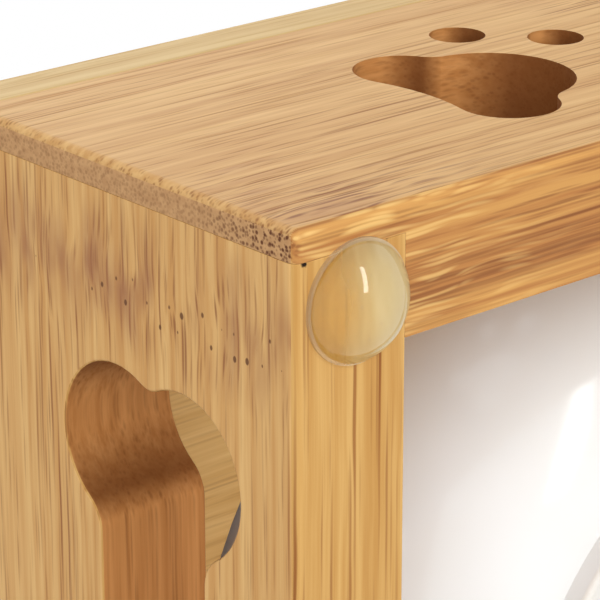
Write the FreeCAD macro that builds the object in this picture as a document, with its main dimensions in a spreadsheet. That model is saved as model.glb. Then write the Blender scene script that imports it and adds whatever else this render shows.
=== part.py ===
import FreeCAD, Part
import os
import Sketcher

# Elevated double pet bowl: a bamboo stand with paw and bone cut-outs, two lift-out
# glazed bowls and four clear stick-on feet.
# Millimetres. X runs along the length, Y from front to back, Z up. The origin is on the
# floor under the middle of the stand.

# Driving dimensions
SIZES = {
    # stand
    "stand_length": 382,
    "stand_depth": 184,
    "wall_thickness": 15,
    "wall_height": 55.5,
    "board_thickness": 7.5,
    # glued corner: the lip that is left at the end of a long panel covers the side's end
    "corner_lip": 3.5,
    # sanded edges
    "edge_round": 1.2,
    "seam_round": 0.4,
    # bone-shaped hand-hold, across the middle of each side
    "bone_axis_height": 24.0,
    "bone_end_margin": 23.0,
    "bone_lobe_radius": 9.5,
    "bone_lobe_offset": 5.6,
    "bone_shaft_width": 17.8,
    "bone_notch_round": 3.0,
    "bone_neck_round": 4.5,
    # paw near each end of the long panels, pointing to the middle
    "paw_axis_height": 26.0,
    "paw_heel_margin": 42.0,
    "paw_heel_radius": 5.9,
    "paw_heel_offset": 8.7,
    "paw_heel_dip": 1.2,
    "paw_ball_radius": 9.8,
    "paw_ball_setback": 10.5,
    "paw_notch_round": 3.5,
    "toe_radius": 3.4,
    "outer_toe_setback": 19.7,
    "outer_toe_offset": 15.3,
    "inner_toe_setback": 27.9,
    "inner_toe_offset": 6.8,
    # bowls and the holes that they hang in
    "bowl_hole_radius": 65,
    "bowl_clearance": 1.5,
    "bowl_wall": 4.5,
    "bowl_depth": 44,
    "bowl_floor": 6.0,
    "bowl_belly_radius": 30,
    "bowl_hollow_radius": 26,
    "bowl_rim_overlap": 7.0,
    "bowl_rim_thickness": 6.0,
    "bowl_lip_round": 2.5,
    "bowl_neck_share": 0.7,
    "bowl_ring_step": 8.5,
    "bowl_ring_width": 5.0,
    "bowl_ring_height": 2.0,
    "bowl_ring_round": 0.8,
    # stick-on feet
    "foot_radius": 6.4,
    "foot_height": 4.2,
    "foot_skirt": 0.5,
    "foot_flat_radius": 1.5,
    "foot_end_margin": 8.2,
    "foot_front_margin": 9.2,
    "adhesive_thickness": 0.4,
    "adhesive_rim": 0.35,
    # how far a cut runs past the wood
    "overrun": 2.0,
}

doc = FreeCAD.newDocument("double_pet_bowl")
sheet = doc.addObject("Spreadsheet::Sheet", "sizes")
for row, (name, value) in enumerate(SIZES.items(), start=1):
    sheet.set(f"A{row}", name)
    sheet.set(f"B{row}", str(value))
    sheet.setAlias(f"B{row}", name)
doc.recompute()

# Heights that several pieces share
WOOD_BOTTOM = "(sizes.foot_height + sizes.adhesive_thickness)"
BOARD_BOTTOM = f"({WOOD_BOTTOM} + sizes.wall_height)"
BOARD_TOP = f"({BOARD_BOTTOM} + sizes.board_thickness)"

# Each bowl is centred in its half of the board
BOWL_CENTRE = "sizes.stand_length / 4"

# Points of a sketch element, and the sketch's own origin and upright axis
START, END, CENTRE = 1, 2, 3
ORIGIN = (-1, 1)
UPRIGHT = -2

X_AXIS = FreeCAD.Vector(1, 0, 0)
Y_AXIS = FreeCAD.Vector(0, 1, 0)
Z_AXIS = FreeCAD.Vector(0, 0, 1)

# How closely an edge follows an axis or a place to be picked for rounding
ALIGNED_SHARE = 0.999
SAME_PLACE_SHARE = 0.001


def measure(formula):
    """The present value of a formula of the sheet."""
    return float(sheet.evalExpression(formula.replace("sizes.", "")))


def point(across, up):
    """A point of a sketch from two formulas."""
    return FreeCAD.Vector(measure(across), measure(up), 0)


def ring_about(centre, radius):
    """A whole circle in a sketch."""
    return Part.Circle(centre, Z_AXIS, radius)


def origin_feature(body, role):
    return next(feature for feature in body.Origin.OriginFeatures if feature.Role == role)


def new_body(label):
    body = doc.addObject("PartDesign::Body", label)
    body.Label = label
    return body


def new_sketch(body, name, plane):
    sketch = body.newObject("Sketcher::SketchObject", f"{body.Name}_{name}")
    sketch.AttachmentSupport = [(origin_feature(body, plane), "")]
    sketch.MapMode = "FlatFace"
    return sketch


def drive(sketch, kind, *target, by):
    """Add a size constraint that follows a formula of the sheet."""
    number = sketch.addConstraint(Sketcher.Constraint(kind, *target, measure(by)))
    sketch.setExpression(f"Constraints[{number}]", by)


def hold_across(sketch, element, spot, across):
    """Hold a point of a sketch sideways, on the upright axis or at a formula from it."""
    if across == "0":
        sketch.addConstraint(Sketcher.Constraint("PointOnObject", element, spot, UPRIGHT))
    else:
        drive(sketch, "DistanceX", *ORIGIN, element, spot, by=across)


def hold_up(sketch, element, spot, up):
    """Hold a point of a sketch at a height."""
    drive(sketch, "DistanceY", *ORIGIN, element, spot, by=up)


def pin(sketch, element, spot, across, up):
    hold_across(sketch, element, spot, across)
    hold_up(sketch, element, spot, up)


def close(sketch, ring, smooth=None):
    """Join a ring of (element, runs forward) end to start. The smooth one runs on into its neighbours."""
    for number, (element, forward) in enumerate(ring):
        before, before_forward = ring[number - 1]
        kind = "Tangent" if smooth in (element, before) else "Coincident"
        ends = (before, END if before_forward else START, element, START if forward else END)
        sketch.addConstraint(Sketcher.Constraint(kind, *ends))


def rectangle(sketch, left, low, right, high):
    corners = [point(left, low), point(right, low), point(right, high), point(left, high)]
    sides = [sketch.addGeometry(Part.LineSegment(first, last))
             for first, last in zip(corners, corners[1:] + corners[:1])]
    close(sketch, [(side, True) for side in sides])
    for side, direction in zip(sides, ("Horizontal", "Vertical", "Horizontal", "Vertical")):
        sketch.addConstraint(Sketcher.Constraint(direction, side))
    pin(sketch, sides[0], START, left, low)
    pin(sketch, sides[2], START, right, high)


def circle(sketch, across, up, radius):
    element = sketch.addGeometry(ring_about(point(across, up), measure(radius)))
    pin(sketch, element, CENTRE, across, up)
    drive(sketch, "Radius", element, by=radius)


def lobe(sketch, across, up, radius, first, last):
    """An arc about a fixed centre, counter-clockwise from the first point to the last."""
    ring = ring_about(point(across, up), measure(radius))
    element = sketch.addGeometry(Part.ArcOfCircle(ring, ring.parameter(first), ring.parameter(last)))
    pin(sketch, element, CENTRE, across, up)
    drive(sketch, "Radius", element, by=radius)
    return element


def section_outline(sketch, corners, rounds):
    """A closed section through corners, with an arc after each corner that rounds names.

    A round gives the arc's centre and whether it bulges out of the section.
    """
    places = [point(*corner) for corner in corners]
    ring = []
    for number, (first, last) in enumerate(zip(places, places[1:] + places[:1])):
        if number in rounds:
            across, up, bulges = rounds[number]
            centre = point(across, up)
            whole = ring_about(centre, centre.distanceToPoint(first))
            ends = (first, last) if bulges else (last, first)
            stretch = Part.ArcOfCircle(whole, *(whole.parameter(end) for end in ends))
        else:
            bulges = True
            stretch = Part.LineSegment(first, last)
        ring.append((sketch.addGeometry(stretch), bulges))
    close(sketch, ring)
    for number, (element, forward) in enumerate(ring):
        pin(sketch, element, START if forward else END, *corners[number])
        if number in rounds:
            hold_across(sketch, element, CENTRE, rounds[number][0])


def pad(body, sketch, length, side_type="One side"):
    feature = body.newObject("PartDesign::Pad", f"{body.Name}_pad")
    feature.Profile = sketch
    feature.SideType = side_type
    feature.setExpression("Length", length)
    doc.recompute()


def cut_through(body, sketch, name):
    """Cut a sketch right through the body, both ways, and see that wood came away."""
    before = body.Shape.Volume
    feature = body.newObject("PartDesign::Pocket", f"{body.Name}_{name}")
    feature.Profile = sketch
    feature.SideType = "Symmetric"
    feature.Type = "ThroughAll"
    doc.recompute()
    if not body.Shape.Volume < before:
        raise RuntimeError(f"{feature.Name} cuts nothing")
    return feature


def mirror(body, features):
    """Repeat cuts on the other side of the body's middle plane."""
    feature = body.newObject("PartDesign::Mirrored", f"{body.Name}_mirror")
    feature.Originals = features
    feature.MirrorPlane = (origin_feature(body, "YZ_Plane"), [""])
    body.Tip = feature
    doc.recompute()


def round_edges(body, name, radius, chosen):
    """Fillet the edges of the body that a test picks out."""
    base = body.Tip
    names = [f"Edge{number}" for number, edge in enumerate(base.Shape.Edges, start=1)
             if not edge.Degenerated and chosen(edge)]
    feature = body.newObject("PartDesign::Fillet", f"{body.Name}_{name}")
    feature.Base = (base, names)
    feature.setExpression("Radius", radius)
    doc.recompute()


def turn(body, sketch):
    """Revolve a half section about the body's upright axis."""
    feature = body.newObject("PartDesign::Revolution", f"{body.Name}_turned")
    feature.Profile = sketch
    feature.ReferenceAxis = (origin_feature(body, "Z_Axis"), [""])
    doc.recompute()


def along(edge, axis):
    """Whether an edge is straight and runs along an axis."""
    return edge.Curve.TypeId == "Part::GeomLine" and abs(edge.Curve.Direction.dot(axis)) > ALIGNED_SHARE


def at(value, formula):
    """Whether a coordinate lies where a formula says."""
    return abs(value - measure(formula)) < SAME_PLACE_SHARE * measure("sizes.wall_thickness")


def place(body, across, back, up, half_turn=False):
    """Set a body's place by formulas, turned half way round the upright axis if asked."""
    body.Placement.Rotation = FreeCAD.Rotation(Z_AXIS, 180 if half_turn else 0)
    for axis, formula in zip("xyz", (across, back, up)):
        body.setExpression(f"Placement.Base.{axis}", formula)


def paw_outline(sketch):
    """One paw: a pad of three lobes with a hollow heel, and four toes."""
    axis = "sizes.paw_axis_height"
    heel = "(sizes.paw_heel_margin - sizes.stand_length / 2)"
    ball = (f"{heel} + sizes.paw_ball_setback", axis, "sizes.paw_ball_radius")
    radius = "sizes.paw_heel_radius"
    lobe_across = f"({heel} - sizes.paw_heel_dip + {radius})"
    high_lobe = (lobe_across, f"{axis} + sizes.paw_heel_offset", radius)
    low_lobe = (lobe_across, f"{axis} - sizes.paw_heel_offset", radius)
    # the heel's arc dips in between its two lobes and touches both
    hollow = (f"((pow(sizes.paw_heel_offset; 2) + pow(sizes.paw_heel_dip; 2)) / (2 * sizes.paw_heel_dip)"
              f" - {radius})")
    hollow_centre = point(f"{heel} - {hollow}", axis)

    def notch(heel_lobe):
        """The outer crossing of the ball and a heel lobe."""
        rings = [ring_about(point(across, up), measure(size)) for across, up, size in (ball, heel_lobe)]
        crossings = [FreeCAD.Vector(cross.X, cross.Y, 0) for cross in rings[0].intersectCC(rings[1])]
        return max(crossings, key=lambda cross: cross.x)

    def touch(heel_lobe):
        """Where a heel lobe runs into the hollow."""
        centre = point(*heel_lobe[:2])
        return centre + (hollow_centre - centre).normalize() * measure(radius)

    ball_arc = lobe(sketch, *ball, notch(low_lobe), notch(high_lobe))
    high_arc = lobe(sketch, *high_lobe, notch(high_lobe), touch(high_lobe))
    whole = ring_about(hollow_centre, measure(hollow))
    heel_ends = (whole.parameter(touch(low_lobe)), whole.parameter(touch(high_lobe)))
    heel_arc = sketch.addGeometry(Part.ArcOfCircle(whole, *heel_ends))
    low_arc = lobe(sketch, *low_lobe, touch(low_lobe), notch(low_lobe))
    close(sketch, [(ball_arc, True), (high_arc, True), (heel_arc, False), (low_arc, True)], smooth=heel_arc)
    drive(sketch, "Radius", heel_arc, by=hollow)

    for toe in ("outer", "inner"):
        for side in "+-":
            circle(sketch, f"{heel} + sizes.{toe}_toe_setback", f"{axis} {side} sizes.{toe}_toe_offset",
                   "sizes.toe_radius")


def long_panel(label, half_turn):
    """Front or back: a full-length board with rabbeted ends and a paw near each end."""
    body = new_body(label)
    plan = new_sketch(body, "plan", "XY_Plane")
    rectangle(plan, "-sizes.stand_length / 2", "-sizes.wall_thickness / 2",
              "sizes.stand_length / 2", "sizes.wall_thickness / 2")
    pad(body, plan, "sizes.wall_height")

    rabbet_plan = new_sketch(body, "rabbet_plan", "XY_Plane")
    rectangle(rabbet_plan, "-sizes.stand_length / 2 - sizes.overrun",
              "sizes.corner_lip - sizes.wall_thickness / 2",
              "sizes.wall_thickness - sizes.stand_length / 2",
              "sizes.wall_thickness / 2 + sizes.overrun")
    rabbet = cut_through(body, rabbet_plan, "rabbet")

    paw_face = new_sketch(body, "paw_face", "XZ_Plane")
    paw_outline(paw_face)
    paw = cut_through(body, paw_face, "paw")
    mirror(body, [rabbet, paw])

    def at_notch(edge):
        setback = measure("sizes.stand_length / 2 - sizes.paw_heel_margin") - abs(edge.BoundBox.Center.x)
        past_heel = setback > measure("sizes.paw_heel_radius - sizes.paw_heel_dip")
        before_toes = setback < measure("sizes.paw_ball_setback + sizes.paw_ball_radius / 2")
        return along(edge, Y_AXIS) and past_heel and before_toes

    def is_outer(edge):
        middle = edge.BoundBox.Center
        on_front = at(middle.y, "-sizes.wall_thickness / 2")
        on_bottom = at(middle.z, "0")
        on_end = at(abs(middle.x), "sizes.stand_length / 2")
        return (along(edge, X_AXIS) and on_front and on_bottom
                or along(edge, Y_AXIS) and on_bottom and on_end
                or along(edge, Z_AXIS) and on_front and on_end)

    round_edges(body, "notches", "sizes.paw_notch_round", at_notch)
    round_edges(body, "edges", "sizes.edge_round", is_outer)
    side = "+" if half_turn else "-"
    place(body, "0", f"{side}(sizes.stand_depth - sizes.wall_thickness) / 2", WOOD_BOTTOM, half_turn)
    return body


def bone_outline(sketch):
    """The hand-hold: two pairs of lobes joined by a straight shaft."""
    axis = "sizes.bone_axis_height"
    reach = "(sizes.stand_depth / 2 - sizes.bone_end_margin - sizes.bone_lobe_radius)"
    tip = "sqrt(pow(sizes.bone_lobe_radius; 2) - pow(sizes.bone_lobe_offset; 2))"
    neck = ("sqrt(pow(sizes.bone_lobe_radius; 2)"
            " - pow(sizes.bone_shaft_width / 2 - sizes.bone_lobe_offset; 2))")
    shaft = {side: f"{axis} {side} sizes.bone_shaft_width / 2" for side in "+-"}
    notch = {end: point(f"{end}({reach} + {tip})", axis) for end in "+-"}
    corner = {end + side: point(f"{end}({reach} - {neck})", shaft[side]) for end in "+-" for side in "+-"}

    def bone_lobe(end, side, first, last):
        return lobe(sketch, f"{end}{reach}", f"{axis} {side} sizes.bone_lobe_offset",
                    "sizes.bone_lobe_radius", first, last)

    ring = [
        bone_lobe("+", "+", notch["+"], corner["++"]),
        sketch.addGeometry(Part.LineSegment(corner["++"], corner["-+"])),
        bone_lobe("-", "+", corner["-+"], notch["-"]),
        bone_lobe("-", "-", notch["-"], corner["--"]),
        sketch.addGeometry(Part.LineSegment(corner["--"], corner["+-"])),
        bone_lobe("+", "-", corner["+-"], notch["+"]),
    ]
    close(sketch, [(element, True) for element in ring])
    for line, side in ((ring[1], "+"), (ring[4], "-")):
        sketch.addConstraint(Sketcher.Constraint("Horizontal", line))
        hold_up(sketch, line, START, shaft[side])


def side_panel(label, half_turn):
    """Left or right side: a board between the lips of the long panels, with the hand-hold."""
    body = new_body(label)
    half_span = "(sizes.stand_depth / 2 - sizes.corner_lip)"
    face = new_sketch(body, "face", "YZ_Plane")
    rectangle(face, f"-{half_span}", "0", half_span, "sizes.wall_height")
    pad(body, face, "sizes.wall_thickness", side_type="Symmetric")

    bone_face = new_sketch(body, "bone_face", "YZ_Plane")
    bone_outline(bone_face)
    cut_through(body, bone_face, "bone")

    def in_bone(edge):
        return along(edge, X_AXIS) and not at(abs(edge.BoundBox.Center.y), half_span)

    def at_notch(edge):
        return in_bone(edge) and at(edge.BoundBox.Center.z, "sizes.bone_axis_height")

    def at_neck(edge):
        height = edge.BoundBox.Center.z - measure("sizes.bone_axis_height")
        return in_bone(edge) and at(abs(height), "sizes.bone_shaft_width / 2")

    def is_outer(edge):
        middle = edge.BoundBox.Center
        return along(edge, Y_AXIS) and at(middle.z, "0") and at(middle.x, "-sizes.wall_thickness / 2")

    round_edges(body, "notches", "sizes.bone_notch_round", at_notch)
    round_edges(body, "necks", "sizes.bone_neck_round", at_neck)
    round_edges(body, "edges", "sizes.edge_round", is_outer)
    side = "+" if half_turn else "-"
    place(body, f"{side}(sizes.stand_length - sizes.wall_thickness) / 2", "0", WOOD_BOTTOM, half_turn)
    return body


def top_board():
    """The board that closes the box and holds the bowls."""
    body = new_body("top_board")
    plan = new_sketch(body, "plan", "XY_Plane")
    rectangle(plan, "-sizes.stand_length / 2", "-sizes.stand_depth / 2",
              "sizes.stand_length / 2", "sizes.stand_depth / 2")
    for side in "-+":
        circle(plan, f"{side}{BOWL_CENTRE}", "0", "sizes.bowl_hole_radius")
    pad(body, plan, "sizes.board_thickness")

    def is_corner(edge):
        return along(edge, Z_AXIS) and at(abs(edge.BoundBox.Center.x), "sizes.stand_length / 2")

    def follows_outline(edge, height):
        middle = edge.BoundBox.Center
        beyond_bowls = abs(middle.y) > measure("sizes.bowl_hole_radius")
        beyond_ends = abs(middle.x) > measure(f"{BOWL_CENTRE} + sizes.bowl_hole_radius")
        return at(middle.z, height) and (beyond_bowls or beyond_ends)

    round_edges(body, "corners", "sizes.edge_round", is_corner)
    round_edges(body, "top_edges", "sizes.edge_round",
                lambda edge: follows_outline(edge, "sizes.board_thickness"))
    round_edges(body, "seam_edges", "sizes.seam_round", lambda edge: follows_outline(edge, "0"))
    place(body, "0", "0", BOARD_BOTTOM)
    return body


def bowl_outline(sketch):
    """Half section of a bowl, with the underside of its rim at zero height."""
    outside = "(sizes.bowl_hole_radius - sizes.bowl_clearance)"
    inside = f"({outside} - sizes.bowl_wall)"
    belly = "sizes.bowl_belly_radius"
    belly_across = f"({outside} - {belly})"
    belly_up = f"({belly} - sizes.bowl_depth)"
    ring_outside = f"({belly_across} + sizes.bowl_ring_step)"
    ring_inside = f"({ring_outside} - sizes.bowl_ring_width)"
    ring_top = f"{belly_up} - sqrt(pow({belly}; 2) - pow(sizes.bowl_ring_step; 2))"
    ring_bottom = "-(sizes.bowl_depth + sizes.bowl_ring_height)"
    neck = "sizes.bowl_clearance * sizes.bowl_neck_share"
    rim_across = "(sizes.bowl_hole_radius + sizes.bowl_rim_overlap - sizes.bowl_rim_thickness / 2)"
    rim_top = "sizes.bowl_rim_thickness"
    lip_across = f"{inside} + sizes.bowl_lip_round"
    lip_up = f"{rim_top} - sizes.bowl_lip_round"
    floor_top = "(sizes.bowl_floor - sizes.bowl_depth)"
    hollow_across = f"{inside} - sizes.bowl_hollow_radius"
    hollow_up = f"{floor_top} + sizes.bowl_hollow_radius"

    corners = [
        ("0", "-sizes.bowl_depth"),
        (ring_inside, "-sizes.bowl_depth"),
        (ring_inside, ring_bottom),
        (ring_outside, ring_bottom),
        (ring_outside, ring_top),
        (outside, belly_up),
        (outside, f"-{neck}"),
        (f"{outside} + {neck}", "0"),
        (rim_across, "0"),
        (rim_across, rim_top),
        (lip_across, rim_top),
        (inside, lip_up),
        (inside, hollow_up),
        (hollow_across, floor_top),
        ("0", floor_top),
    ]
    rounds = {
        corners.index((ring_outside, ring_top)): (belly_across, belly_up, True),
        corners.index((outside, f"-{neck}")): (f"{outside} + {neck}", f"-{neck}", False),
        corners.index((rim_across, "0")): (rim_across, "sizes.bowl_rim_thickness / 2", True),
        corners.index((lip_across, rim_top)): (lip_across, lip_up, True),
        corners.index((inside, hollow_up)): (hollow_across, hollow_up, False),
    }
    section_outline(sketch, corners, rounds)


def bowl(label, side):
    """A glazed bowl that hangs by its rim in a hole of the board."""
    body = new_body(label)
    section = new_sketch(body, "section", "XZ_Plane")
    bowl_outline(section)
    turn(body, section)

    def on_ring(edge):
        return at(edge.BoundBox.Center.z, "-(sizes.bowl_depth + sizes.bowl_ring_height)")

    round_edges(body, "ring_edges", "sizes.bowl_ring_round", on_ring)
    place(body, f"{side}{BOWL_CENTRE}", "0", BOARD_TOP)
    return body


def place_under_corner(body, end, side, up):
    place(body, f"{end}(sizes.stand_length / 2 - sizes.foot_end_margin)",
          f"{side}(sizes.stand_depth / 2 - sizes.foot_front_margin)", up)


def foot(label, end, side):
    """A clear soft dome that stands on its small flat, with a thin straight skirt on top."""
    body = new_body(label)
    section = new_sketch(body, "section", "XZ_Plane")
    skirt_low = "(sizes.foot_height - sizes.foot_skirt)"
    dome_centre = (f"(pow(sizes.foot_radius; 2) - pow(sizes.foot_flat_radius; 2) + pow({skirt_low}; 2))"
                   f" / (2 * {skirt_low})")
    corners = [
        ("0", "0"),
        ("sizes.foot_flat_radius", "0"),
        ("sizes.foot_radius", skirt_low),
        ("sizes.foot_radius", "sizes.foot_height"),
        ("0", "sizes.foot_height"),
    ]
    section_outline(section, corners, {1: ("0", dome_centre, True)})
    turn(body, section)
    place_under_corner(body, end, side, "0")
    return body


def adhesive(label, end, side):
    """The thin disc that sticks a foot to the wood."""
    body = new_body(label)
    plan = new_sketch(body, "plan", "XY_Plane")
    circle(plan, "0", "0", "sizes.foot_radius + sizes.adhesive_rim")
    pad(body, plan, "sizes.adhesive_thickness")
    place_under_corner(body, end, side, "sizes.foot_height")
    return body


pieces = [
    long_panel("front_panel", half_turn=False),
    long_panel("back_panel", half_turn=True),
    side_panel("left_side_panel", half_turn=False),
    side_panel("right_side_panel", half_turn=True),
    top_board(),
    bowl("left_bowl", "-"),
    bowl("right_bowl", "+"),
]
for side_name, side in (("front", "-"), ("back", "+")):
    for end_name, end in (("left", "-"), ("right", "+")):
        pieces.append(foot(f"{side_name}_{end_name}_foot", end, side))
        pieces.append(adhesive(f"{side_name}_{end_name}_foot_adhesive", end, side))
doc.recompute()

for item in doc.Objects:
    if {"Invalid", "Error"} & set(item.State):
        raise RuntimeError(f"{item.Name} failed: {item.State}")
for piece in pieces:
    if piece.Shape.isNull() or not piece.Shape.isValid() or len(piece.Shape.Solids) != 1:
        raise RuntimeError(f"{piece.Label} is not one sound solid")

os.makedirs("parts", exist_ok=True)
for piece in pieces:
    piece.Shape.exportStep(f"parts/{piece.Label}.step")
    print(piece.Label, round(piece.Shape.Volume), "cubic mm")
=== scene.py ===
import math

import bmesh
import bpy
from mathutils import Matrix, Vector


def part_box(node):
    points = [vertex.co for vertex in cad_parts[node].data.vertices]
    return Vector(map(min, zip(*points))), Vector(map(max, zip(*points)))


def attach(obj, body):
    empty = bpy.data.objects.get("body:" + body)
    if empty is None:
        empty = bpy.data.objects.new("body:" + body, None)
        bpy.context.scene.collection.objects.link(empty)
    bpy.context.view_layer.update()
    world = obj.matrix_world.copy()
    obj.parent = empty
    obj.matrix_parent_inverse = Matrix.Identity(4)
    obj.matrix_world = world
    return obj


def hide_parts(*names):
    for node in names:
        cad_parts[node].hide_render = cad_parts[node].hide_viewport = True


# Elevated double pet bowl: sanded bamboo stand, two white glazed bowls, clear stick-on feet.
# Metres, in the frame of the solids: X along the stand, Y from front to back, Z up.
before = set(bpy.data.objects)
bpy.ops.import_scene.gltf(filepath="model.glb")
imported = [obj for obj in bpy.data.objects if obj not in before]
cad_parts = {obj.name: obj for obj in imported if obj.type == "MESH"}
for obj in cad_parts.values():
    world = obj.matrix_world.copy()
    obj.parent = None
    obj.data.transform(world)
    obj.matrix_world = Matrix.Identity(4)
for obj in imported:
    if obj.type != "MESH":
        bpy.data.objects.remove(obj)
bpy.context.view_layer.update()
MM = 0.001

# Edges of the stand that finishes and cuts are told apart by
STAND_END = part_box("front_panel")[1].x
STAND_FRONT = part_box("front_panel")[0].y
WOOD_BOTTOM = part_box("front_panel")[0].z
WALL_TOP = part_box("front_panel")[1].z
WALL = 15 * MM
STRIP_WIDTH = 20 * MM
# A cut-out keeps at least this far from the outline of its panel
MARGIN = 2 * MM
# Points closer than this are one, and faces that meet at more than this are shaded apart
MERGE = 0.001 * MM
CREASE = math.radians(40)


# Node trees

def tone(red, green, blue):
    """A colour from the values that a picture of it shows, 0 to 255."""
    shares = [value / 255 for value in (red, green, blue)]
    linear = [share / 12.92 if share < 0.04 else ((share + 0.055) / 1.055) ** 2.4 for share in shares]
    return (*linear, 1)


def add(tree, kind, settings=None, inputs=None):
    """Add a node; an input is linked if it is a socket and set if it is a value."""
    node = tree.nodes.new(kind)
    for key, value in (settings or {}).items():
        setattr(node, key, value)
    for key, value in (inputs or {}).items():
        if isinstance(value, bpy.types.NodeSocket):
            tree.links.new(value, node.inputs[key])
        else:
            node.inputs[key].default_value = value
    return node


def sums(tree, operation, first, second=0.0):
    return add(tree, "ShaderNodeMath", {"operation": operation}, {0: first, 1: second}).outputs[0]


def spread(tree, value, low, high, to_low=0.0, to_high=1.0):
    """Bring a value from one span to another, held at the ends."""
    return add(tree, "ShaderNodeMapRange", {}, {0: value, 1: low, 2: high, 3: to_low, 4: to_high}).outputs[0]


def mixed(tree, share, first, second):
    return add(tree, "ShaderNodeMix", {"data_type": "RGBA"}, {0: share, 6: first, 7: second}).outputs[2]


def scaled(tree, place, sizes):
    """Place divided by the size of one pattern cell each way, in millimetres."""
    scale = [1 / (size * MM) for size in sizes]
    return add(tree, "ShaderNodeMapping", {}, {"Vector": place, "Scale": scale}).outputs[0]


def cloud(tree, place, sizes, detail=2.0, roughness=0.5):
    inputs = {"Vector": scaled(tree, place, sizes), "Scale": 1.0, "Detail": detail, "Roughness": roughness}
    return add(tree, "ShaderNodeTexNoise", {}, inputs).outputs[0]


def cells(tree, place, sizes, scatter=1.0, dimensions="3D"):
    """Distance to the nearest of scattered points, in cells."""
    inputs = {"Vector": scaled(tree, place, sizes), "Scale": 1.0, "Randomness": scatter}
    return add(tree, "ShaderNodeTexVoronoi", {"voronoi_dimensions": dimensions}, inputs).outputs["Distance"]


def new_finish(name, values):
    """A material and its shader, with plain values set on the shader's own sockets."""
    material = bpy.data.materials.new(name)
    material.use_nodes = True
    shader = material.node_tree.nodes["Principled BSDF"]
    for socket, value in values.items():
        shader.inputs[socket].default_value = value
    return material, material.node_tree, shader


def object_place(tree):
    return add(tree, "ShaderNodeTexCoord").outputs["Object"]


def from_corner_point(tree, place, across, back):
    """Outward distance along X, and plan distance, from a point that each corner of the stand has."""
    axes = add(tree, "ShaderNodeSeparateXYZ", {}, {0: place})
    outwards = sums(tree, "SUBTRACT", sums(tree, "ABSOLUTE", axes.outputs["X"]), across)
    beyond = sums(tree, "SUBTRACT", sums(tree, "ABSOLUTE", axes.outputs["Y"]), back)
    flat = add(tree, "ShaderNodeCombineXYZ", {}, {0: outwards, 1: beyond}).outputs[0]
    return outwards, add(tree, "ShaderNodeVectorMath", {"operation": "LENGTH"}, {0: flat}).outputs["Value"]


# Bamboo

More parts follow.
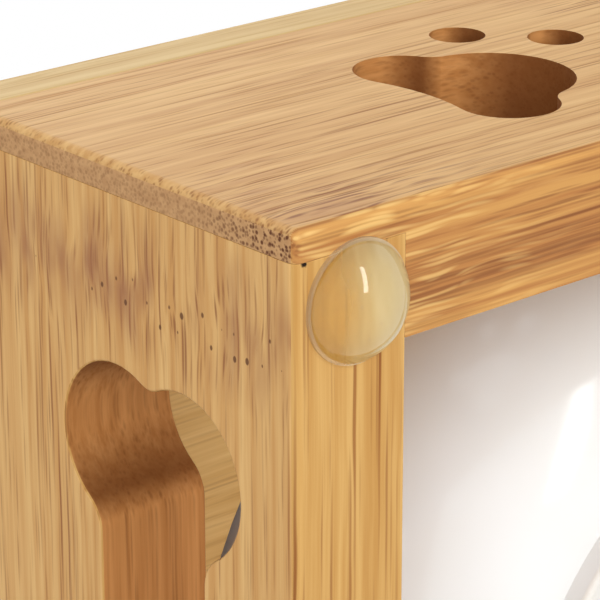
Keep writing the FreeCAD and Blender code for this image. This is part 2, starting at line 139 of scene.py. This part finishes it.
def bamboo(name, pale, tan, fibre, crosswise=False, rows=0.8, bundles=(0.40, 0.14), spacing=0.66, grain=44,
           strips="Z", glued=0.0, joints=0.0, pits=0.0, band=0.0, flecks=0.0, fleck_tone=None,
           low_dots=False, glue_gap_shade=False, end_grain=None, gloss=0.42):
    """Bamboo with its fibres along X, or along Y if crosswise.

    The fibres are long thin cells, so a face along them shows streaks and an end shows dots.
    rows is how dark the fibres are and bundles how thick. spacing is how far apart and grain how
    long they are, in millimetres. strips is the axis across the glued strips, glued how far their
    tones part, joints how much the joints of the cane show and pits the rows of pits on them. band
    is how brown the middle layer of a long panel is. flecks is how far its lower corners are
    flecked, with fleck_tone or else the colour of the fibres. With low_dots the dots of an end show
    near the floor, and with glue_gap_shade a dark speck of painted shade shows in the corner joint,
    for the shade in a small gap where its glue has drawn back. Where a curved cut runs across the
    fibres, it takes on the colour of end_grain.
    """
    material, tree, shader = new_finish(name, {"IOR": 1.48, "Specular IOR Level": 0.12})
    place = object_place(tree)
    if crosswise:
        turned = {"Vector": place, "Rotation": (0, 0, math.radians(-90))}
        place = add(tree, "ShaderNodeMapping", {}, turned).outputs[0]
    axes = add(tree, "ShaderNodeSeparateXYZ", {}, {0: place})

    # joints of the cane: place of the first, half the way to the next, and the shift from strip to strip
    first, apart, step = (-79 * MM, 70 * MM, 0.0) if crosswise else (-184 * MM, 95 * MM, 57 * MM)
    strip = sums(tree, "DIVIDE", sums(tree, "SUBTRACT", axes.outputs[strips], WOOD_BOTTOM), STRIP_WIDTH)
    number = sums(tree, "FLOOR", strip)
    shift = sums(tree, "MULTIPLY", number, step)
    along = sums(tree, "SUBTRACT", sums(tree, "ADD", axes.outputs["X"], shift), first)
    wrapped = add(tree, "ShaderNodeMath", {"operation": "WRAP"}, {0: along, 1: apart, 2: -apart}).outputs[0]
    joint = spread(tree, sums(tree, "ABSOLUTE", wrapped), 9 * MM, 1 * MM)

    # fibres waver a little, and more at a joint
    waver = sums(tree, "SUBTRACT", cloud(tree, place, (14, 3.5, 3.5), 1.0), 0.5)
    reach = spread(tree, joint, 0.0, 1.0, 0.5 * MM, (0.5 + 1.2 * joints) * MM)
    waver = sums(tree, "MULTIPLY", waver, reach)
    sway = add(tree, "ShaderNodeCombineXYZ", {}, {1: waver, 2: waver}).outputs[0]
    place = add(tree, "ShaderNodeVectorMath", {"operation": "ADD"}, {0: place, 1: sway}).outputs[0]

    broad = cloud(tree, place, (150, 6, 6), 2.0)
    middle = cloud(tree, place, (46, 1.1, 1.1), 3.0, 0.6)
    long_bundle = spread(tree, cells(tree, place, (grain, spacing, spacing)), *bundles)
    short_bundle = spread(tree, cells(tree, place, (0.3 * grain, 0.8 * spacing, 0.8 * spacing)), *bundles)
    bundle = sums(tree, "MAXIMUM", long_bundle, sums(tree, "MULTIPLY", short_bundle, 0.7))
    density = sums(tree, "ADD", broad, sums(tree, "MULTIPLY", joint, 0.3 * joints))
    density = spread(tree, density, 0.36, 0.62, 0.3, 1.0)
    if low_dots:
        density = spread(tree, axes.outputs["Z"], WOOD_BOTTOM + 16 * MM, WOOD_BOTTOM + 5 * MM, 0.3, 1.0)

    colour = mixed(tree, spread(tree, middle, 0.36, 0.64), pale, tan)
    colour = mixed(tree, spread(tree, broad, 0.3, 0.7, 0.0, 0.4), colour, tan)
    if glued:
        # each strip has its own tone, and a thin glue line parts it from the next
        chance = add(tree, "ShaderNodeTexWhiteNoise", {"noise_dimensions": "1D"}, {"W": number})
        colour = mixed(tree, spread(tree, chance.outputs["Value"], 0.0, 1.0, 0.0, glued), colour, tan)
        beside = sums(tree, "ABSOLUTE", sums(tree, "SUBTRACT", sums(tree, "FRACT", strip), 0.5))
        colour = mixed(tree, spread(tree, beside, 0.491, 0.496, 0.0, 0.6 * glued), colour, fibre)
    if band:
        # the fibre-rich layer in the middle of the panel's thickness
        depth = sums(tree, "SUBTRACT", sums(tree, "ABSOLUTE", axes.outputs["Y"]), -STAND_FRONT - 0.6 * WALL)
        depth = sums(tree, "ADD", depth, sums(tree, "MULTIPLY", sums(tree, "SUBTRACT", broad, 0.5), 9 * MM))
        layer = spread(tree, sums(tree, "ABSOLUTE", depth), 3.6 * MM, 1.6 * MM, 0.0, band)
        lines = spread(tree, cloud(tree, place, (60, 0.5, 0.5), 2.0), 0.42, 0.6)
        colour = mixed(tree, layer, colour, mixed(tree, lines, tan, fibre))
    dark = sums(tree, "MULTIPLY", sums(tree, "MULTIPLY", bundle, density), rows)
    colour = mixed(tree, dark, colour, fibre)
    if flecks:
        # short wavy flecks beside the lower corners
        from_middle = sums(tree, "ABSOLUTE", axes.outputs["X"])
        end = spread(tree, from_middle, STAND_END - 42 * MM, STAND_END - 12 * MM)
        low = spread(tree, axes.outputs["Z"], WOOD_BOTTOM + 15 * MM, WOOD_BOTTOM + 4 * MM)
        bend = sums(tree, "MULTIPLY", cloud(tree, place, (11, 4, 4), 1.0), 2 * MM)
        bent = add(tree, "ShaderNodeCombineXYZ", {}, {1: bend, 2: bend}).outputs[0]
        bent = add(tree, "ShaderNodeVectorMath", {"operation": "ADD"}, {0: place, 1: bent}).outputs[0]
        fleck = spread(tree, cells(tree, bent, (16, 0.6, 0.6)), 0.5, 0.2, 0.0, flecks)
        zone = sums(tree, "MULTIPLY", end, low)
        colour = mixed(tree, sums(tree, "MULTIPLY", fleck, zone), colour, fleck_tone or fibre)
    if joints:
        # a brownish patch at the joint
        patch = spread(tree, cloud(tree, place, (12, 3.5, 3.5), 2.0), 0.4, 0.7, 0.0, 0.6 * joints)
        colour = mixed(tree, sums(tree, "MULTIPLY", joint, patch), colour, tone(166, 112, 76))
    if pits:
        # two rows of small pits along the joint, uneven in size and smaller towards the top
        for offset, wide, narrow in ((0.8, 0.10, 0.06), (-1.3, 0.08, 0.05)):
            past = sums(tree, "ADD", wrapped, offset * MM)
            height = sums(tree, "ADD", axes.outputs["Z"], 100 * offset * MM)
            spot = add(tree, "ShaderNodeCombineXYZ", {}, {0: past, 1: height}).outputs[0]
            uneven = spread(tree, cloud(tree, spot, (9, 3, 3), 1.0), 0.35, 0.6, -0.1, 0.03)
            smaller = spread(tree, axes.outputs["Z"], 30 * MM, 50 * MM, 0.0, 0.1)
            uneven = sums(tree, "SUBTRACT", uneven, smaller)
            pit = sums(tree, "SUBTRACT", cells(tree, spot, (4.2, 2.9, 1), 0.5, "2D"), uneven)
            pit = spread(tree, pit, wide, narrow, 0.0, pits)
            row = spread(tree, sums(tree, "ABSOLUTE", sums(tree, "SUBTRACT", past, MM)), 1.7 * MM, 1.6 * MM)
            colour = mixed(tree, sums(tree, "MULTIPLY", pit, row), colour, tone(96, 58, 34))
    if glue_gap_shade:
        # a dark speck of painted shade, for the shade inside a small gap where the glue of the corner joint
        # has drawn back
        speck = (STAND_END - 1.3 * MM, -STAND_FRONT - 3.55 * MM)
        _, distance = from_corner_point(tree, object_place(tree), *speck)
        ragged = sums(tree, "MULTIPLY", cloud(tree, place, (0.4, 0.4, 0.4)), 0.4 * MM)
        ragged = sums(tree, "ADD", distance, ragged)
        colour = mixed(tree, spread(tree, ragged, 0.65 * MM, 0.45 * MM), colour, tone(34, 22, 14))
    if end_grain:
        normal = add(tree, "ShaderNodeNewGeometry").outputs["Normal"]
        facing = add(tree, "ShaderNodeSeparateXYZ", {}, {0: normal})
        across = sums(tree, "ABSOLUTE", facing.outputs["Y" if crosswise else "X"])
        colour = mixed(tree, spread(tree, across, 0.25, 0.85, 0.0, 0.85), colour, end_grain)

    tree.links.new(colour, shader.inputs["Base Color"])
    tree.links.new(spread(tree, bundle, 0.0, 1.0, gloss, gloss + 0.16), shader.inputs["Roughness"])
    relief = sums(tree, "SUBTRACT", middle, sums(tree, "MULTIPLY", bundle, 0.6))
    bump = add(tree, "ShaderNodeBump", {}, {"Strength": 0.35, "Distance": 0.06 * MM, "Height": relief})
    tree.links.new(bump.outputs[0], shader.inputs["Normal"])
    return material


LONG_FACE = dict(pale=tone(224, 182, 122), tan=tone(202, 154, 96), fibre=tone(132, 82, 46),
                 rows=0.7, bundles=(0.38, 0.12), joints=1.0, flecks=0.9)
CROSS_FACE = dict(pale=tone(233, 189, 124), tan=tone(210, 157, 94), fibre=tone(138, 82, 50),
                  rows=0.75, bundles=(0.38, 0.12), joints=1.4, pits=0.85)
LONG_EDGE = dict(pale=tone(218, 165, 94), tan=tone(180, 121, 68), fibre=tone(130, 78, 46),
                 rows=0.85, band=0.7, flecks=0.7, fleck_tone=tone(240, 198, 124))
CROSS_EDGE = dict(pale=tone(218, 174, 106), tan=tone(196, 146, 80), fibre=tone(140, 84, 42),
                  rows=0.95, bundles=(0.36, 0.18), spacing=0.8, grain=130, glue_gap_shade=True)
END = dict(pale=tone(210, 164, 114), tan=tone(190, 144, 98), fibre=tone(106, 66, 44),
           rows=1.0, bundles=(0.46, 0.24), spacing=0.62, low_dots=True, gloss=0.55)
CUT = dict(pale=tone(214, 152, 90), tan=tone(188, 126, 68), fibre=tone(126, 78, 42),
           rows=0.5, end_grain=tone(114, 64, 30), gloss=0.6)
BOARD_FACE = dict(pale=tone(248, 213, 146), tan=tone(230, 189, 120), fibre=tone(168, 118, 70),
                  rows=0.4, strips="Y", glued=0.6, joints=0.7)
BOARD_EDGE = dict(pale=tone(219, 189, 132), tan=tone(207, 172, 113), fibre=tone(166, 120, 74), rows=0.35)

LENGTHWISE = {
    "face": bamboo("bamboo_long_face", **LONG_FACE),
    "edge": bamboo("bamboo_long_edge", **LONG_EDGE),
    "end": bamboo("bamboo_long_end_grain", **END),
    "cut": bamboo("bamboo_long_routed", **CUT),
}
CROSSWISE = {
    "face": bamboo("bamboo_cross_face", crosswise=True, **CROSS_FACE),
    "edge": bamboo("bamboo_cross_edge", crosswise=True, **CROSS_EDGE),
    "end": bamboo("bamboo_cross_end_grain", crosswise=True, **END),
    "cut": bamboo("bamboo_cross_routed", crosswise=True, **CUT),
}
BOARDWISE = {
    **LENGTHWISE,
    "face": bamboo("bamboo_board_face", **BOARD_FACE),
    "edge": bamboo("bamboo_board_edge", **BOARD_EDGE),
}


# Glaze, clear feet and adhesive

def white_glaze():
    """White glaze, a little uneven, with the bare clay of the standing ring below."""
    material, tree, shader = new_finish("white_glaze", {"IOR": 1.5})
    place = object_place(tree)
    pool = cloud(tree, place, (26, 26, 18), 3.0)
    colour = mixed(tree, spread(tree, pool, 0.35, 0.7), tone(246, 246, 245), tone(242, 241, 238))
    height = add(tree, "ShaderNodeSeparateXYZ", {}, {0: place}).outputs["Z"]
    ring_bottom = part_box("left_bowl")[0].z
    bare = spread(tree, height, ring_bottom + 0.9 * MM, ring_bottom + 0.5 * MM)
    clay = mixed(tree, cloud(tree, place, (0.8, 0.8, 0.8), 3.0), tone(244, 241, 235), tone(232, 227, 218))
    colour = mixed(tree, bare, colour, clay)
    tree.links.new(colour, shader.inputs["Base Color"])
    rough = sums(tree, "ADD", spread(tree, pool, 0.3, 0.7, 0.08, 0.16), sums(tree, "MULTIPLY", bare, 0.6))
    tree.links.new(rough, shader.inputs["Roughness"])
    bump = add(tree, "ShaderNodeBump", {}, {"Strength": 0.15, "Distance": 0.4 * MM, "Height": pool})
    tree.links.new(bump.outputs[0], shader.inputs["Normal"])
    return material


FOOT_CENTRE = sum(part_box("back_right_foot"), Vector()) / 2
FOOT_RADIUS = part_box("back_right_foot")[1].x - FOOT_CENTRE.x


def clear_foot():
    """Clear soft plastic that shows the film and the wood behind it."""
    material, tree, shader = new_finish(
        "clear_foot", {"IOR": 1.46, "Base Color": tone(254, 248, 230), "Transmission Weight": 1.0})
    dust = cloud(tree, object_place(tree), (1.6, 1.6, 1.6), 3.0)
    tree.links.new(spread(tree, dust, 0.45, 0.75, 0.02, 0.09), shader.inputs["Roughness"])
    return material


def foot_adhesive():
    """Thin yellowish film. Its inner half is painted paler and less clear as painted light, for the brighter
    lit side of the clear foot, and the film is paler in a thin ring at its outer edge.
    """
    material, tree, shader = new_finish("foot_adhesive", {"IOR": 1.45})
    place = object_place(tree)
    outwards, distance = from_corner_point(tree, place, FOOT_CENTRE.x, FOOT_CENTRE.y)
    patchy = sums(tree, "MULTIPLY", sums(tree, "SUBTRACT", cloud(tree, place, (2, 7, 7), 2.0), 0.5), 5 * MM)
    # painted light: towards the middle of the stand the film is painted paler and less see-through, for the
    # side of the clear foot that is lit more
    inner = spread(tree, sums(tree, "ADD", outwards, patchy), 0.5 * FOOT_RADIUS, -0.4 * FOOT_RADIUS)
    film = mixed(tree, inner, tone(255, 206, 98), tone(255, 236, 182))
    rim = spread(tree, distance, FOOT_RADIUS - 0.1 * MM, FOOT_RADIUS)
    bubble = spread(tree, cells(tree, place, (1.1, 1.1, 1.1)), 0.16, 0.08, 0.0, 0.6)
    film = mixed(tree, sums(tree, "MAXIMUM", rim, bubble), film, tone(238, 212, 170))
    tree.links.new(film, shader.inputs["Base Color"])
    tree.links.new(spread(tree, bubble, 0.0, 0.6, 0.3, 0.5), shader.inputs["Roughness"])
    tree.links.new(spread(tree, inner, 0.0, 1.0, 0.28, 0.55), shader.inputs["Alpha"])
    return material


# Pieces

def shown(name, mesh_edit, body, node, finishes):
    """Make a finished piece of a bmesh that stands for a solid."""
    mesh = bpy.data.meshes.new(name)
    mesh_edit.to_mesh(mesh)
    mesh_edit.free()
    for material in finishes:
        mesh.materials.append(material)
    piece = bpy.data.objects.new(name, mesh)
    bpy.context.collection.objects.link(piece)
    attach(piece, body)
    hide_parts(node)
    return piece


def softened(mesh_edit, edges, width):
    bmesh.ops.bevel(mesh_edit, geom=edges, offset=width, offset_type="OFFSET", affect="EDGES",
                    segments=3, profile=0.5, material=-1, clamp_overlap=True)


def is_sharp(edge):
    return len(edge.link_faces) == 2 and edge.calc_face_angle() > math.radians(50)


def sanded_panel(node, finishes, inside, wall_side, rim=0.4 * MM, seam=0.1 * MM):
    """A panel with its cut-outs' rims broken and its glue seams eased.

    inside tells whether a point lies within the panel's outline, wall_side which finish a face gets.
    """
    wood = bmesh.new()
    wood.from_mesh(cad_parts[node].data)
    bmesh.ops.remove_doubles(wood, verts=wood.verts[:], dist=MERGE)
    bmesh.ops.dissolve_limit(wood, angle_limit=math.radians(0.2), verts=wood.verts[:], edges=wood.edges[:])
    rims = [edge for edge in wood.edges if is_sharp(edge) and all(inside(end.co) for end in edge.verts)]
    softened(wood, rims, rim)
    seams = [edge for edge in wood.edges if is_sharp(edge) and not all(inside(end.co) for end in edge.verts)]
    softened(wood, seams, seam)
    names = list(finishes)
    for face in wood.faces:
        face.smooth = True
        face.material_index = names.index(wall_side(face.calc_center_median(), face.normal))
    piece = shown(f"{node}_bamboo", wood, "stand", node, [finishes[key] for key in names])
    piece.data.set_sharp_from_angle(angle=CREASE)
    even = piece.modifiers.new("even_shading", "WEIGHTED_NORMAL")
    even.keep_sharp = True


def long_inside(point):
    return abs(point.x) < STAND_END - WALL - MM and WOOD_BOTTOM + MARGIN < point.z < WALL_TOP - MARGIN


def long_side(point, normal):
    if long_inside(point) and abs(normal.y) < 0.6:
        return "cut"
    if abs(normal.x) > 0.9:
        return "end"
    return "face" if abs(normal.z) < 0.3 else "edge"


def cross_inside(point):
    return abs(point.y) < -STAND_FRONT - 5 * MM and WOOD_BOTTOM + MARGIN < point.z < WALL_TOP - MARGIN


def cross_side(point, normal):
    if cross_inside(point) and abs(normal.x) < 0.6:
        return "cut"
    if abs(normal.y) > 0.9:
        return "end"
    return "face" if abs(normal.x) > 0.9 else "edge"


def board_inside(point):
    return abs(point.x) < STAND_END - 20 * MM and abs(point.y) < -STAND_FRONT - 20 * MM


def board_side(point, normal):
    if board_inside(point) and abs(normal.z) < 0.6:
        return "cut"
    if abs(normal.x) > 0.7:
        return "end"
    return "edge" if abs(normal.y) > 0.7 else "face"


for node in ("front_panel", "back_panel"):
    sanded_panel(node, LENGTHWISE, long_inside, long_side)
for node in ("left_side_panel", "right_side_panel"):
    sanded_panel(node, CROSSWISE, cross_inside, cross_side)
sanded_panel("top_board", BOARDWISE, board_inside, board_side)

glaze = white_glaze()
for node in ("left_bowl", "right_bowl"):
    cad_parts[node].data.materials[0] = glaze


def clear_dome(node, finish):
    """A turned dome that is bonded to the wood, so its top lies just inside the wood."""
    low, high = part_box(node)
    centre = (low + high) / 2
    radius = (high.x - low.x) / 2
    skirt = 0.5 * MM
    bond = 0.01 * MM
    rise = high.z - low.z - skirt
    swing = (radius ** 2 + rise ** 2) / (2 * rise)
    dome = bmesh.new()
    start = dome.verts.new((0, 0, 0))
    turn = math.atan2(radius, swing - rise)
    arc = bmesh.ops.spin(dome, geom=[start], cent=(0, 0, swing), axis=(0, 1, 0), angle=-turn, steps=16)
    top = WOOD_BOTTOM + bond
    tip = next(item for item in arc["geom_last"] if isinstance(item, bmesh.types.BMVert))
    wall = dome.verts.new((radius, 0, top))
    inner = dome.verts.new((0, 0, top))
    dome.edges.new((tip, wall))
    dome.edges.new((wall, inner))
    bmesh.ops.spin(dome, geom=dome.verts[:] + dome.edges[:], cent=(0, 0, 0), axis=(0, 0, 1),
                   angle=math.tau, steps=72, use_merge=True)
    bmesh.ops.remove_doubles(dome, verts=dome.verts[:], dist=MERGE)
    bmesh.ops.recalc_face_normals(dome, faces=dome.faces[:])
    bmesh.ops.translate(dome, vec=(centre.x, centre.y, low.z), verts=dome.verts[:])
    for face in dome.faces:
        face.smooth = True
    piece = shown(f"{node}_clear", dome, "stand", node, [finish])
    piece.data.set_sharp_from_angle(angle=CREASE)
    piece.visible_shadow = False


clear = clear_foot()
film = foot_adhesive()
for corner in ("front_left", "front_right", "back_left", "back_right"):
    clear_dome(f"{corner}_foot", clear)
    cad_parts[f"{corner}_foot_adhesive"].data.materials[0] = film


# Floor, world and lamps

def pale_floor():
    """A pale floor that is seen from above, and looked through from below."""
    plane = bmesh.new()
    bmesh.ops.create_grid(plane, x_segments=1, y_segments=1, size=6)
    mesh = bpy.data.meshes.new("floor")
    plane.to_mesh(mesh)
    plane.free()
    matt = {"Base Color": tone(236, 235, 232), "Roughness": 0.8}
    material, tree, shader = new_finish("pale_floor", matt)
    below = add(tree, "ShaderNodeNewGeometry").outputs["Backfacing"]
    through = add(tree, "ShaderNodeBsdfTransparent").outputs[0]
    either = add(tree, "ShaderNodeMixShader", {}, {0: below, 1: shader.outputs[0], 2: through})
    tree.links.new(either.outputs[0], tree.nodes["Material Output"].inputs["Surface"])
    mesh.materials.append(material)
    floor = bpy.data.objects.new("floor", mesh)
    bpy.context.collection.objects.link(floor)
    floor.visible_diffuse = False
    floor.visible_glossy = False
    floor.visible_transmission = False
    floor.visible_shadow = False


def white_surroundings(level):
    """A white background, and soft light of the given level from all round."""
    world = bpy.data.worlds.new("studio")
    world.use_nodes = True
    tree = world.node_tree
    path = add(tree, "ShaderNodeLightPath")
    seen = sums(tree, "MAXIMUM", path.outputs["Is Camera Ray"], path.outputs["Is Glossy Ray"])
    seen = sums(tree, "MAXIMUM", seen, path.outputs["Is Transmission Ray"])
    light = tree.nodes["Background"]
    light.inputs["Color"].default_value = (1, 1, 1, 1)
    light.inputs["Strength"].default_value = level
    white = add(tree, "ShaderNodeBackground", {}, {"Color": (1, 1, 1, 1), "Strength": 1.0})
    either = add(tree, "ShaderNodeMixShader", {}, {0: seen, 1: light.outputs[0], 2: white.outputs[0]})
    tree.links.new(either.outputs[0], tree.nodes["World Output"].inputs["Surface"])
    bpy.context.scene.world = world


def soft_lamp(name, place, target, width, height, power, up=(0, 0, 1), mirrored=False, bounces=1024):
    """An area lamp, shown in glossy surfaces only if mirrored, whose light bounces at most so often."""
    light = bpy.data.lights.new(name, "AREA")
    light.shape = "RECTANGLE"
    light.size = width
    light.size_y = height
    light.energy = power
    light.cycles.max_bounces = bounces
    lamp = bpy.data.objects.new(name, light)
    lamp.visible_glossy = mirrored
    bpy.context.collection.objects.link(lamp)
    back = (Vector(place) - Vector(target)).normalized()
    side = Vector(up).cross(back).normalized()
    axes = Matrix((side, back.cross(side), back)).transposed()
    lamp.matrix_world = Matrix.Translation(place) @ axes.to_4x4()


pale_floor()
white_surroundings(0.6)
CORNER = Vector((-STAND_END, STAND_FRONT, WOOD_BOTTOM))
soft_lamp("front_softbox", (-0.25, -0.9, 0.5), CORNER, 0.6, 0.6, 1.1)
soft_lamp("left_softbox", (-0.875, -0.53, -0.74), CORNER, 0.7, 0.7, 5.0, bounces=0)
soft_lamp("low_softbox", (-0.40, -0.15, -0.95), (-0.1, 0, 0), 0.9, 0.9, 1.2, bounces=0)
soft_lamp("top_softbox", (0.2, -0.3, 1.2), (0, 0, 0), 1.0, 1.0, 3.0, mirrored=True)
# turned so that its reflection lies upright on the front left foot as the camera sees it
soft_lamp("strip_lamp", (-0.081, -0.408, -0.468), (-0.1828, -0.083, 0), 0.075, 0.4, 1.0,
          up=(0.134, -0.482, 0.294), mirrored=True)


# Camera: below the front left corner, looking up at it

CAMERA_PLACE = Vector((-0.372588, -0.189814, -0.205544))
CAMERA_RIGHT = Vector((0.754952, 0.001759, -0.655778))
CAMERA_UP = Vector((0.232922, -0.935512, 0.265639))


def corner_camera(place, right, up):
    data = bpy.data.cameras.new("corner_view")
    data.lens = 179.86
    data.sensor_width = 36
    data.clip_start = 0.01
    data.clip_end = 50
    camera = bpy.data.objects.new("corner_view", data)
    bpy.context.collection.objects.link(camera)
    axes = Matrix((right, up, right.cross(up))).transposed()
    camera.matrix_world = Matrix.Translation(place) @ axes.to_4x4()
    bpy.context.scene.camera = camera


corner_camera(CAMERA_PLACE, CAMERA_RIGHT, CAMERA_UP)
bpy.context.scene.view_settings.view_transform = "Standard"
